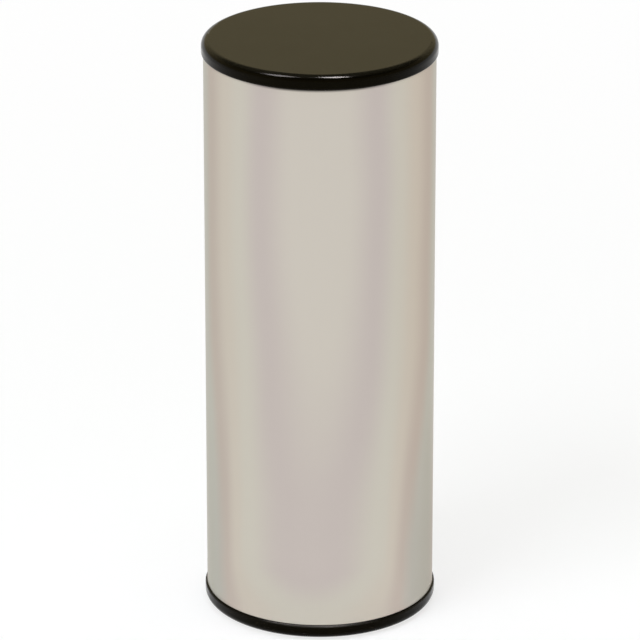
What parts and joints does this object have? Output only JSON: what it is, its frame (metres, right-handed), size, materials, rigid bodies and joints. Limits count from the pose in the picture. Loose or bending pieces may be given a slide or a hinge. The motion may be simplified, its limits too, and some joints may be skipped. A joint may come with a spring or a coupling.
{
  "type": "ganza shaker",
  "caption": "Hand-held cylinder shaker: a satin aluminium tube closed by two black press-in plastic caps, with loose steel beads that rattle inside.",
  "frame": {"origin": "centre of the lower cap's outer face, on the surface the shaker stands on", "axes": "+Z along the tube's axis, from the lower cap to the upper cap; the shell is round, so X and Y only follow the rows of beads and +Y points away from the camera of the picture"},
  "size_m": [0.0516, 0.0516, 0.132],
  "materials": {
    "tube_metal": "satin, brushed",
    "cap_plastic": "moulded, satin face and polished edge",
    "bead_steel": "polished"
  },
  "bodies": {
    "shell": {"tube": "tube_metal", "upper_cap": "cap_plastic", "lower_cap": "cap_plastic"},
    "bead_01": {"bead_01": "bead_steel"},
    "bead_02": {"bead_02": "bead_steel"},
    "bead_03": {"bead_03": "bead_steel"},
    "bead_04": {"bead_04": "bead_steel"},
    "bead_05": {"bead_05": "bead_steel"},
    "bead_06": {"bead_06": "bead_steel"},
    "bead_07": {"bead_07": "bead_steel"},
    "bead_08": {"bead_08": "bead_steel"},
    "bead_09": {"bead_09": "bead_steel"},
    "bead_10": {"bead_10": "bead_steel"},
    "bead_11": {"bead_11": "bead_steel"},
    "bead_12": {"bead_12": "bead_steel"},
    "bead_13": {"bead_13": "bead_steel"},
    "bead_14": {"bead_14": "bead_steel"},
    "bead_15": {"bead_15": "bead_steel"},
    "bead_16": {"bead_16": "bead_steel"},
    "bead_17": {"bead_17": "bead_steel"},
    "bead_18": {"bead_18": "bead_steel"},
    "bead_19": {"bead_19": "bead_steel"},
    "bead_20": {"bead_20": "bead_steel"},
    "bead_21": {"bead_21": "bead_steel"},
    "bead_22": {"bead_22": "bead_steel"},
    "bead_23": {"bead_23": "bead_steel"},
    "bead_24": {"bead_24": "bead_steel"},
    "bead_25": {"bead_25": "bead_steel"},
    "bead_26": {"bead_26": "bead_steel"},
    "bead_27": {"bead_27": "bead_steel"},
    "bead_28": {"bead_28": "bead_steel"},
    "bead_29": {"bead_29": "bead_steel"},
    "bead_30": {"bead_30": "bead_steel"},
    "bead_31": {"bead_31": "bead_steel"},
    "bead_32": {"bead_32": "bead_steel"},
    "bead_33": {"bead_33": "bead_steel"},
    "bead_34": {"bead_34": "bead_steel"},
    "bead_35": {"bead_35": "bead_steel"},
    "bead_36": {"bead_36": "bead_steel"},
    "bead_37": {"bead_37": "bead_steel"},
    "bead_38": {"bead_38": "bead_steel"},
    "bead_39": {"bead_39": "bead_steel"},
    "bead_40": {"bead_40": "bead_steel"},
    "bead_41": {"bead_41": "bead_steel"},
    "bead_42": {"bead_42": "bead_steel"},
    "bead_43": {"bead_43": "bead_steel"},
    "bead_44": {"bead_44": "bead_steel"},
    "bead_45": {"bead_45": "bead_steel"},
    "bead_46": {"bead_46": "bead_steel"},
    "bead_47": {"bead_47": "bead_steel"},
    "bead_48": {"bead_48": "bead_steel"},
    "bead_49": {"bead_49": "bead_steel"},
    "bead_50": {"bead_50": "bead_steel"},
    "bead_51": {"bead_51": "bead_steel"},
    "bead_52": {"bead_52": "bead_steel"},
    "bead_53": {"bead_53": "bead_steel"},
    "bead_54": {"bead_54": "bead_steel"},
    "bead_55": {"bead_55": "bead_steel"}
  },
  "joints": [
    {"name": "bead_01_travel", "type": "slide", "parent": "shell", "child": "bead_01", "axis": [0, 0, 1], "range_m": [0, 0.1228]},
    {"name": "bead_02_travel", "type": "slide", "parent": "shell", "child": "bead_02", "axis": [0, 0, 1], "range_m": [0, 0.1228]},
    {"name": "bead_03_travel", "type": "slide", "parent": "shell", "child": "bead_03", "axis": [0, 0, 1], "range_m": [0, 0.1228]},
    {"name": "bead_04_travel", "type": "slide", "parent": "shell", "child": "bead_04", "axis": [0, 0, 1], "range_m": [0, 0.1228]},
    {"name": "bead_05_travel", "type": "slide", "parent": "shell", "child": "bead_05", "axis": [0, 0, 1], "range_m": [0, 0.1228]},
    {"name": "bead_06_travel", "type": "slide", "parent": "shell", "child": "bead_06", "axis": [0, 0, 1], "range_m": [0, 0.1228]},
    {"name": "bead_07_travel", "type": "slide", "parent": "shell", "child": "bead_07", "axis": [0, 0, 1], "range_m": [0, 0.1228]},
    {"name": "bead_08_travel", "type": "slide", "parent": "shell", "child": "bead_08", "axis": [0, 0, 1], "range_m": [0, 0.1228]},
    {"name": "bead_09_travel", "type": "slide", "parent": "shell", "child": "bead_09", "axis": [0, 0, 1], "range_m": [0, 0.1228]},
    {"name": "bead_10_travel", "type": "slide", "parent": "shell", "child": "bead_10", "axis": [0, 0, 1], "range_m": [0, 0.1228]},
    {"name": "bead_11_travel", "type": "slide", "parent": "shell", "child": "bead_11", "axis": [0, 0, 1], "range_m": [0, 0.1228]},
    {"name": "bead_12_travel", "type": "slide", "parent": "shell", "child": "bead_12", "axis": [0, 0, 1], "range_m": [0, 0.1228]},
    {"name": "bead_13_travel", "type": "slide", "parent": "shell", "child": "bead_13", "axis": [0, 0, 1], "range_m": [0, 0.1228]},
    {"name": "bead_14_travel", "type": "slide", "parent": "shell", "child": "bead_14", "axis": [0, 0, 1], "range_m": [0, 0.1228]},
    {"name": "bead_15_travel", "type": "slide", "parent": "shell", "child": "bead_15", "axis": [0, 0, 1], "range_m": [0, 0.1228]},
    {"name": "bead_16_travel", "type": "slide", "parent": "shell", "child": "bead_16", "axis": [0, 0, 1], "range_m": [0, 0.1228]},
    {"name": "bead_17_travel", "type": "slide", "parent": "shell", "child": "bead_17", "axis": [0, 0, 1], "range_m": [0, 0.1228]},
    {"name": "bead_18_travel", "type": "slide", "parent": "shell", "child": "bead_18", "axis": [0, 0, 1], "range_m": [0, 0.1228]},
    {"name": "bead_19_travel", "type": "slide", "parent": "shell", "child": "bead_19", "axis": [0, 0, 1], "range_m": [0, 0.1228]},
    {"name": "bead_20_travel", "type": "slide", "parent": "shell", "child": "bead_20", "axis": [0, 0, 1], "range_m": [0, 0.1228]},
    {"name": "bead_21_travel", "type": "slide", "parent": "shell", "child": "bead_21", "axis": [0, 0, 1], "range_m": [0, 0.1228]},
    {"name": "bead_22_travel", "type": "slide", "parent": "shell", "child": "bead_22", "axis": [0, 0, 1], "range_m": [0, 0.1228]},
    {"name": "bead_23_travel", "type": "slide", "parent": "shell", "child": "bead_23", "axis": [0, 0, 1], "range_m": [0, 0.1228]},
    {"name": "bead_24_travel", "type": "slide", "parent": "shell", "child": "bead_24", "axis": [0, 0, 1], "range_m": [0, 0.1228]},
    {"name": "bead_25_travel", "type": "slide", "parent": "shell", "child": "bead_25", "axis": [0, 0, 1], "range_m": [0, 0.1228]},
    {"name": "bead_26_travel", "type": "slide", "parent": "shell", "child": "bead_26", "axis": [0, 0, 1], "range_m": [0, 0.1228]},
    {"name": "bead_27_travel", "type": "slide", "parent": "shell", "child": "bead_27", "axis": [0, 0, 1], "range_m": [0, 0.1228]},
    {"name": "bead_28_travel", "type": "slide", "parent": "shell", "child": "bead_28", "axis": [0, 0, 1], "range_m": [0, 0.1228]},
    {"name": "bead_29_travel", "type": "slide", "parent": "shell", "child": "bead_29", "axis": [0, 0, 1], "range_m": [0, 0.1228]},
    {"name": "bead_30_travel", "type": "slide", "parent": "shell", "child": "bead_30", "axis": [0, 0, 1], "range_m": [0, 0.1228]},
    {"name": "bead_31_travel", "type": "slide", "parent": "shell", "child": "bead_31", "axis": [0, 0, 1], "range_m": [0, 0.1228]},
    {"name": "bead_32_travel", "type": "slide", "parent": "shell", "child": "bead_32", "axis": [0, 0, 1], "range_m": [0, 0.1228]},
    {"name": "bead_33_travel", "type": "slide", "parent": "shell", "child": "bead_33", "axis": [0, 0, 1], "range_m": [0, 0.1228]},
    {"name": "bead_34_travel", "type": "slide", "parent": "shell", "child": "bead_34", "axis": [0, 0, 1], "range_m": [0, 0.1228]},
    {"name": "bead_35_travel", "type": "slide", "parent": "shell", "child": "bead_35", "axis": [0, 0, 1], "range_m": [0, 0.1228]},
    {"name": "bead_36_travel", "type": "slide", "parent": "shell", "child": "bead_36", "axis": [0, 0, 1], "range_m": [0, 0.1228]},
    {"name": "bead_37_travel", "type": "slide", "parent": "shell", "child": "bead_37", "axis": [0, 0, 1], "range_m": [0, 0.1228]},
    {"name": "bead_38_travel", "type": "slide", "parent": "shell", "child": "bead_38", "axis": [0, 0, 1], "range_m": [0, 0.1228]},
    {"name": "bead_39_travel", "type": "slide", "parent": "shell", "child": "bead_39", "axis": [0, 0, 1], "range_m": [0, 0.1228]},
    {"name": "bead_40_travel", "type": "slide", "parent": "shell", "child": "bead_40", "axis": [0, 0, 1], "range_m": [0, 0.1228]},
    {"name": "bead_41_travel", "type": "slide", "parent": "shell", "child": "bead_41", "axis": [0, 0, 1], "range_m": [0, 0.1228]},
    {"name": "bead_42_travel", "type": "slide", "parent": "shell", "child": "bead_42", "axis": [0, 0, 1], "range_m": [0, 0.1228]},
    {"name": "bead_43_travel", "type": "slide", "parent": "shell", "child": "bead_43", "axis": [0, 0, 1], "range_m": [0, 0.1228]},
    {"name": "bead_44_travel", "type": "slide", "parent": "shell", "child": "bead_44", "axis": [0, 0, 1], "range_m": [0, 0.1228]},
    {"name": "bead_45_travel", "type": "slide", "parent": "shell", "child": "bead_45", "axis": [0, 0, 1], "range_m": [0, 0.1228]},
    {"name": "bead_46_travel", "type": "slide", "parent": "shell", "child": "bead_46", "axis": [0, 0, 1], "range_m": [0, 0.1228]},
    {"name": "bead_47_travel", "type": "slide", "parent": "shell", "child": "bead_47", "axis": [0, 0, 1], "range_m": [0, 0.1228]},
    {"name": "bead_48_travel", "type": "slide", "parent": "shell", "child": "bead_48", "axis": [0, 0, 1], "range_m": [0, 0.1228]},
    {"name": "bead_49_travel", "type": "slide", "parent": "shell", "child": "bead_49", "axis": [0, 0, 1], "range_m": [0, 0.1228]},
    {"name": "bead_50_travel", "type": "slide", "parent": "shell", "child": "bead_50", "axis": [0, 0, 1], "range_m": [0, 0.1228]},
    {"name": "bead_51_travel", "type": "slide", "parent": "shell", "child": "bead_51", "axis": [0, 0, 1], "range_m": [0, 0.1228]},
    {"name": "bead_52_travel", "type": "slide", "parent": "shell", "child": "bead_52", "axis": [0, 0, 1], "range_m": [0, 0.1228]},
    {"name": "bead_53_travel", "type": "slide", "parent": "shell", "child": "bead_53", "axis": [0, 0, 1], "range_m": [0, 0.1228]},
    {"name": "bead_54_travel", "type": "slide", "parent": "shell", "child": "bead_54", "axis": [0, 0, 1], "range_m": [0, 0.1228]},
    {"name": "bead_55_travel", "type": "slide", "parent": "shell", "child": "bead_55", "axis": [0, 0, 1], "range_m": [0, 0.1228]}
  ]
}
